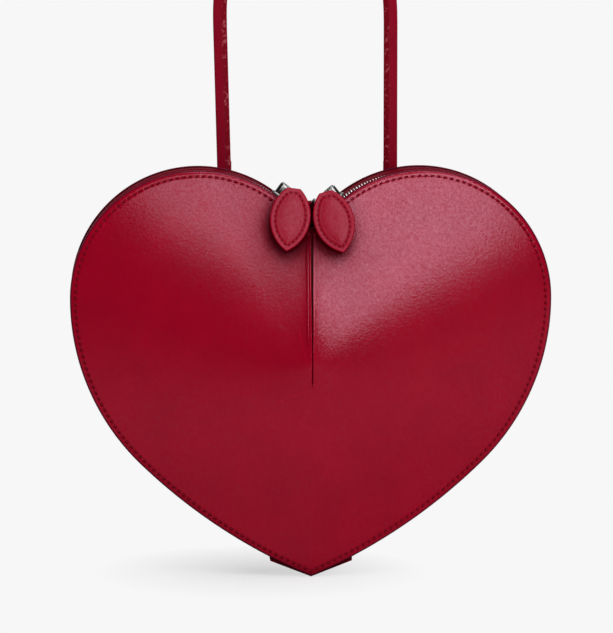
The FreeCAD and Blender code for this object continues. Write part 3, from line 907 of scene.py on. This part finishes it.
def zip_teeth(side):
    """A row of teeth, each a head and a clamp on the tape, sunk less beside the sliders."""
    cleft_clear = 5.5
    drop_near, drop_away = {"front": 0.0, "rear": 0.6}[side], 0.85
    head, head_y, head_sink = block(0.8, tooth_depth, 2.4, 0.22), tooth_slot / 2 + 0.75, 0.85
    clamp, clamp_y, clamp_sink = block(0.7, 2.2, 1.7, 0.2), tooth_slot / 2 + 2.0, 1.3
    sign = -1 if side == "front" else 1
    edge = outline(panel_overhang + 0.1)[zip_run]
    spots, runs = spaced(np.stack([edge[:, 0], np.zeros(len(edge)), edge[:, 1]], 1), tooth_pitch)
    depthwise = np.array((0, 1, 0))
    shape = Shape()
    for spot, run in zip(spots, runs):
        x, z = spot[0], spot[2]
        if lobe_angle(x, z) > tooth_last or abs(x) < cleft_clear:
            continue
        up = np.cross(run, depthwise)
        if up @ (spot - (math.copysign(lobe_x, x), 0, lobe_z)) < 0:
            up = -up
        drop = drop_near + (drop_away - drop_near) * float(from_slider(x, z))
        for solid, y, sink in ((head, head_y, head_sink), (clamp, clamp_y, clamp_sink)):
            middle = spot + sign * y * depthwise - up * (sink + drop)
            shape.loft(middle + solid[..., :1] * run + solid[..., 1:2] * depthwise + solid[..., 2:] * up)
    return shape.make(side + "_zip_teeth_metal", "bag", "steel", [tooth_metal], [side + "_zip_teeth"])


zip_teeth("front")
zip_teeth("rear")


# Sliders

def on_lobe(points, side, angle):
    """Points (along, depth, radius) at the right lobe's top, turned along its arc and put on one side."""
    points = np.asarray(points, float)
    turn = points[..., 0] / gusset_radius + angle
    x = lobe_x + points[..., 2] * np.sin(turn)
    z = lobe_z + points[..., 2] * np.cos(turn)
    return np.stack([x if side == "right" else -x, points[..., 1], z], -1)


def lobe_plate(length, widths, low, high, rounding, shift=(0, 0, 0)):
    """A plate along the arc, rounded at its ends, whose width changes from end to end."""
    loops = []
    for share in np.linspace(0, 1, 15):
        bend = max(1 - min(share, 1 - share) * length / rounding, 0)
        pull = rounding * (1 - math.sqrt(1 - bend**2))
        width = np.interp(share, np.linspace(0, 1, len(widths)), widths) - 2 * pull
        section = round_rect(width, max(high - low - 1.2 * pull, 0.3), 0.45)
        loops.append([((share - 0.5) * length, u, (low + high) / 2 + v) for u, v in section])
    return np.array(loops) + shift


def slider(side):
    """Plates above and below the teeth, a post, a crown with ribs and a nose, and the lug for the pin."""
    floor = slider_floor
    keel = gusset_radius - gusset_thickness - tape_thickness / 2 - 1.4 - slider_gap
    crown = floor + 7.0
    solids = [
        lobe_plate(slider_length, [6.4, 8.5, 8.5, 7.6, 6.6, 6.2], floor, floor + 1.5, 1.1),
        lobe_plate(slider_length, [4.6, 6.0, 6.0, 5.4, 4.6], keel - slider_plate, keel, 0.9),
        lobe_plate(4.0, [1.0, 1.0], keel - 0.7, floor + 0.7, 0.3, (-4.3, 0, 0)),
        lobe_plate(12.5, [4.2, 4.4, 4.4, 4.2], floor + 0.8, crown, 0.7),
        lobe_plate(2.2, [3.8, 3.8], floor + 0.8, crown + 1.8, 0.5, (-5.2, 0, 0)),
    ]
    for y in (-1.5, 0.0, 1.5):
        solids.append(lobe_plate(11.6, [0.8, 0.8], crown - 0.5, crown + 0.5, 0.4, (0, y, 0)))
    lug = [
        (floor + 2.6, 5.4, 4.3), (floor + 4.2, 4.6, 4.3), (pin_reach - 0.4, 3.9, 4.3),
        (pin_reach + 0.8, 3.4, 4.2), (pin_reach + 1.5, 2.4, 3.9), (pin_reach + 1.85, 1.0, 3.2),
    ]
    solids.append([[(u, v, r) for u, v in round_rect(length, width, 0.6)] for r, length, width in lug])
    shape = Shape()
    for solid in solids:
        shape.loft(on_lobe(solid, side, slider_rest[side]))
    return shape.make(side + "_slider_metal", side + "_slider", "steel", [metal], [side + "_slider"])


slider("left")
slider("right")


# Leaf pulls

def hang(points, side):
    """From the cross bar's own place to the purse's."""
    sign = {"left": -1, "right": 1}[side]
    lean = Matrix.Rotation(-leaf_lean, 3, "X")
    tilt = Matrix.Rotation(-sign * leaf_tilt[side], 3, "Y")
    return np.asarray(points, float) @ np.array(tilt @ lean).T + (sign * pull_x[side], bar_y, pull_z[side])


def circle_through(a, b, c):
    """The centre and radius of the circle through three points."""
    d = 2 * (a[0] * (b[1] - c[1]) + b[0] * (c[1] - a[1]) + c[0] * (a[1] - b[1]))
    x = ((a @ a) * (b[1] - c[1]) + (b @ b) * (c[1] - a[1]) + (c @ c) * (a[1] - b[1])) / d
    z = ((a @ a) * (c[0] - b[0]) + (b @ b) * (a[0] - c[0]) + (c @ c) * (b[0] - a[0])) / d
    return x, z, math.hypot(a[0] - x, a[1] - z)


def leaf_edge(inset):
    """The leaf's outline drawn in by an inset: flat top, one arc each side to a point below."""
    shoulder, waist = np.array((leaf_top, leaf_rise)), np.array((leaf_half, -leaf_waist))
    x, z, radius = circle_through(shoulder, waist, np.array((0, -leaf_length)))
    radius -= inset
    top = leaf_rise - inset
    first = math.asin(np.clip((top - z) / radius, -1, 1))
    last = -math.acos(np.clip(-x / radius, -1, 1))
    angles = np.linspace(first, last, 44)
    right = np.stack([x + radius * np.cos(angles), z + radius * np.sin(angles)], 1)
    right[-1, 0] = 0
    top_row = np.stack([np.linspace(0, right[0, 0], 6)[:-1], np.full(5, top)], 1)
    half = np.concatenate([top_row, right])
    return np.concatenate([half, half[-2:0:-1] * (-1, 1)])


def leaf_height(inset):
    """The front leather's height over the leaf's middle plane: flat margin, stitched step, soft crown."""
    crown = np.clip((inset - leaf_seam) / leaf_crown_run, 0, 1)
    dip = leaf_dip * math.exp(-(((inset - leaf_seam) / 0.4) ** 2))
    return bar_clear + leaf_margin + leaf_crown * (1 - (1 - crown) ** 2) - dip


def leaf_front(side):
    """The padded front leather with its seam."""
    edge = [(0.0, 0.25), (0.08, 0.06), (0.25, 0.0), (0.9, 0.0), (1.12, 0.08)]
    insets = [0.3, 0.8, 1.4, 1.8, 2.1, 2.4, 2.7, 3.0, 3.3, 3.7, 4.2, 4.8, 5.5, 6.2, 6.8]
    middle, middle_run = np.array((0.0, -11.5)), 2.4
    rows = [[(x, -bar_clear - y, z) for x, z in leaf_edge(inset)] for y, inset in edge]
    rows += [[(x, -leaf_height(inset), z) for x, z in leaf_edge(inset)] for inset in insets]
    spine = leaf_edge(insets[-1])
    for k in (0.75, 0.5, 0.25, 0.08):
        height = leaf_height(insets[-1] + middle_run * (1 - k))
        rows.append([(x, -height, z) for x, z in middle + (spine - middle) * k])
    shape = Shape().loft(rows).moved(lambda p: hang(p, side))
    piece = shape.make(side + "_leaf_front_leather", side + "_leaf", "pull_leather", [pull_leather],
                       [side + "_leaf_front"], 60)


def leaf_stitches(side):
    pitch, length, radius, slant = 2.5, 1.9, 0.2, 0.2
    row = leaf_edge(leaf_seam)
    row = np.concatenate([row, row[:1]])
    depth = np.full(len(row), -bar_clear - leaf_margin + leaf_dip)
    spots, runs = spaced(np.stack([row[:, 0], depth, row[:, 1]], 1), pitch)
    normals = np.tile((0.0, -1.0, 0.0), (len(spots), 1))
    sewn = stitches(spots, runs, normals, slant, length, radius).moved(lambda p: hang(p, side))
    sewn.make(side + "_leaf_stitches", side + "_leaf", "pull_leather", [thread])


def leaf_back(side):
    """The rear leather, with two straps folded up round the cross bar."""
    edge = [(0.0, 0.3), (0.15, 0.05), (0.6, 0.0), (1.05, 0.05), (1.2, 0.3), (1.2, 3.0)]
    top, strap_apart, strap_radius = -1.2, 2.15, 1.4
    section = round_rect(2.05, 1.0, 0.35, 3)
    shape = Shape()
    shape.loft([[(x, y - bar_clear, min(z, top - inset)) for x, z in leaf_edge(inset)] for y, inset in edge])
    path = [(-0.2, -5.0), (0.35, -3.4), (0.95, -1.9)]
    for a in np.radians(np.linspace(-40, 118, 12)):
        path.append((strap_radius * math.cos(a), strap_radius * math.sin(a)))
    for x in (-strap_apart, strap_apart):
        shape.loft(folded(x, path, [section] * len(path)))
    shape.moved(lambda p: hang(p, side))
    return shape.make(side + "_leaf_back_leather", side + "_leaf", "pull_leather", [pull_leather],
                      [side + "_leaf_back"], 60)


for side in ("left", "right"):
    leaf_front(side)
    leaf_stitches(side)
    leaf_back(side)


# Zip end tabs and strap tabs

def zip_end_tab(side):
    low, high = gusset_radius - 0.1, gusset_radius + 0.8
    loops = lobe_plate(13.0, [15.0, 16.0, 16.0, 15.0], low, high, 1.0)
    name = side + "_zip_end_tab"
    shape = Shape().loft(on_lobe(loops, side, zip_end))
    return shape.make(name + "_leather", "bag", "gusset_leather", [gusset_leather], [name])


def strap_tab(side):
    """A strip folded through the ring, with both layers down the back panel to a round end."""
    x = {"left": -strap_x, "right": strap_x}[side]
    half = strap_width / 2
    bar_z = ring_z - ring_pitch
    foot = bar_z - tab_length
    heights = np.concatenate([np.linspace(foot, bar_z - 4.5, 26), [bar_z - 2.6]])
    path = [(face + dome_at(x, z) + tab_thickness / 2, z) for z in heights]
    loops = []
    for y, z in path:
        near = max(half - (z - foot), 0)
        width = 2 * math.sqrt(max(half**2 - near**2, 0.3))
        loops.append([(x + u, y + v, z) for u, v in round_rect(width, tab_thickness, 0.5)])
    hook = [path[-1], (ring_y - tab_eye_radius, bar_z - 1.0)]
    for a in np.linspace(0, math.pi, 13):
        hook.append((ring_y - tab_eye_radius * math.cos(a), bar_z + tab_eye_radius * math.sin(a)))
    hook += [(ring_y + 1.6, bar_z - 1.2), (ring_y + 0.9, bar_z - 3.2), (path[-3][0] + 0.4, path[-3][1])]
    shape = Shape().loft(loops).loft(folded(x, hook, [round_rect(strap_width, 1.15, 0.4)] * len(hook)))
    name = side + "_strap_tab"
    return shape.make(name + "_leather", "bag", "strap_leather", [strap_leather], [name])


for side in ("left", "right"):
    zip_end_tab(side)
    strap_tab(side)


# Floor, light and background

def stage_floor():
    """A pale floor that shows only round the purse's foot, where it takes its shadow."""
    size, level = 1.6, float(cad_bounds[0][2])
    shadow_x, shadow_reach = 25 * MM, 85 * MM
    corners = [(-size, -size, level), (size, -size, level), (size, size, level), (-size, size, level)]
    mesh = bpy.data.meshes.new("floor")
    mesh.from_pydata(corners, [], [(0, 1, 2, 3)])
    made, nodes, links, shader = material("pale_floor")
    shader.inputs["Base Color"].default_value = (0.86, 0.86, 0.86, 1)
    shader.inputs["Roughness"].default_value = 0.9
    shader.inputs["Specular IOR Level"].default_value = 0.1
    clear = nodes.new("ShaderNodeBsdfTransparent")
    blend = nodes.new("ShaderNodeMixShader")
    coords = nodes.new("ShaderNodeTexCoord")
    middle = nodes.new("ShaderNodeMapping")
    middle.inputs["Location"].default_value = (shadow_x, -middle_y * MM, -level)
    length = nodes.new("ShaderNodeVectorMath")
    length.operation = "LENGTH"
    links.new(coords.outputs["Object"], middle.inputs["Vector"])
    links.new(middle.outputs["Vector"], length.inputs[0])
    fade = spread_over(nodes, links, length.outputs["Value"], 0.6, 1, 0, shadow_reach)
    links.new(fade, blend.inputs["Fac"])
    links.new(shader.outputs["BSDF"], blend.inputs[1])
    links.new(clear.outputs["BSDF"], blend.inputs[2])
    links.new(blend.outputs["Shader"], nodes["Material Output"].inputs["Surface"])
    mesh.materials.append(made)
    floor = bpy.data.objects.new("floor", mesh)
    bpy.context.collection.objects.link(floor)


def softbox(name, azimuth, elevation, distance, width, height, power, roll=0.0):
    """An area light that faces the purse's middle from a direction in degrees."""
    aim_height = 110.0
    out = outward(azimuth, elevation)
    light = bpy.data.lights.new(name, "AREA")
    light.shape = "RECTANGLE"
    light.size, light.size_y, light.energy = width, height, power
    box = bpy.data.objects.new(name, light)
    bpy.context.collection.objects.link(box)
    box.location = Vector(place([0, 0, aim_height])) + out * distance
    box.rotation_mode = "QUATERNION"
    turn = Matrix.Rotation(math.radians(roll), 3, "Z").to_quaternion()
    box.rotation_quaternion = (-out).to_track_quat("-Z", "Y") @ turn


def studio():
    """A pale background, with softer surroundings for light and a mirrored table for the leather's sheen."""
    world = bpy.data.worlds.new("studio")
    scene.world = world
    world.use_nodes = True
    nodes, links = world.node_tree.nodes, world.node_tree.links
    seen = nodes["Background"]
    around, mirrored = nodes.new("ShaderNodeBackground"), nodes.new("ShaderNodeBackground")
    seen.inputs["Color"].default_value = (0.93, 0.93, 0.93, 1)
    coords = nodes.new("ShaderNodeTexCoord")
    split = nodes.new("ShaderNodeSeparateXYZ")
    links.new(coords.outputs["Generated"], split.inputs["Vector"])
    tilted = nodes.new("ShaderNodeVectorMath")
    tilted.operation = "DOT_PRODUCT"
    tilted.inputs[1].default_value = (-0.15, 0, 1)
    links.new(coords.outputs["Generated"], tilted.inputs[0])
    below = spread_over(nodes, links, tilted.outputs["Value"], 1, 0, -0.8, 0)
    table_stops = [(0.1, grey(0)), (0.28, grey(0.6)), (0.45, grey(0.6)), (0.75, grey(0.22))]
    brighter = nodes.new("ShaderNodeMath")
    brighter.operation = "MAXIMUM"
    links.new(spread_over(nodes, links, split.outputs["Y"], 0.03, 0.85, -0.1, 0.35), brighter.inputs[0])
    links.new(ramp(nodes, links, below, table_stops), brighter.inputs[1])
    links.new(brighter.outputs["Value"], mirrored.inputs["Strength"])
    links.new(spread_over(nodes, links, split.outputs["Z"], 1.05, 0.3, -0.1, 0.1), around.inputs["Strength"])
    path = nodes.new("ShaderNodeLightPath")
    first, last = nodes.new("ShaderNodeMixShader"), nodes.new("ShaderNodeMixShader")
    links.new(path.outputs["Is Glossy Ray"], first.inputs["Fac"])
    links.new(around.outputs["Background"], first.inputs[1])
    links.new(mirrored.outputs["Background"], first.inputs[2])
    links.new(path.outputs["Is Camera Ray"], last.inputs["Fac"])
    links.new(first.outputs["Shader"], last.inputs[1])
    links.new(seen.outputs["Background"], last.inputs[2])
    links.new(last.outputs["Shader"], nodes["World Output"].inputs["Surface"])


stage_floor()
studio()
softbox("key", 11.0, 15.8, distance=1.8, width=0.6, height=0.77, power=9.4, roll=10)
softbox("front", -6, 16, distance=1.8, width=0.38, height=0.34, power=1.8, roll=8)
softbox("sky", 12, 52, distance=1.6, width=0.8, height=0.8, power=10.5)
softbox("top", 75, 70, distance=1.7, width=0.9, height=0.9, power=4)
scene.view_settings.view_transform = "Standard"
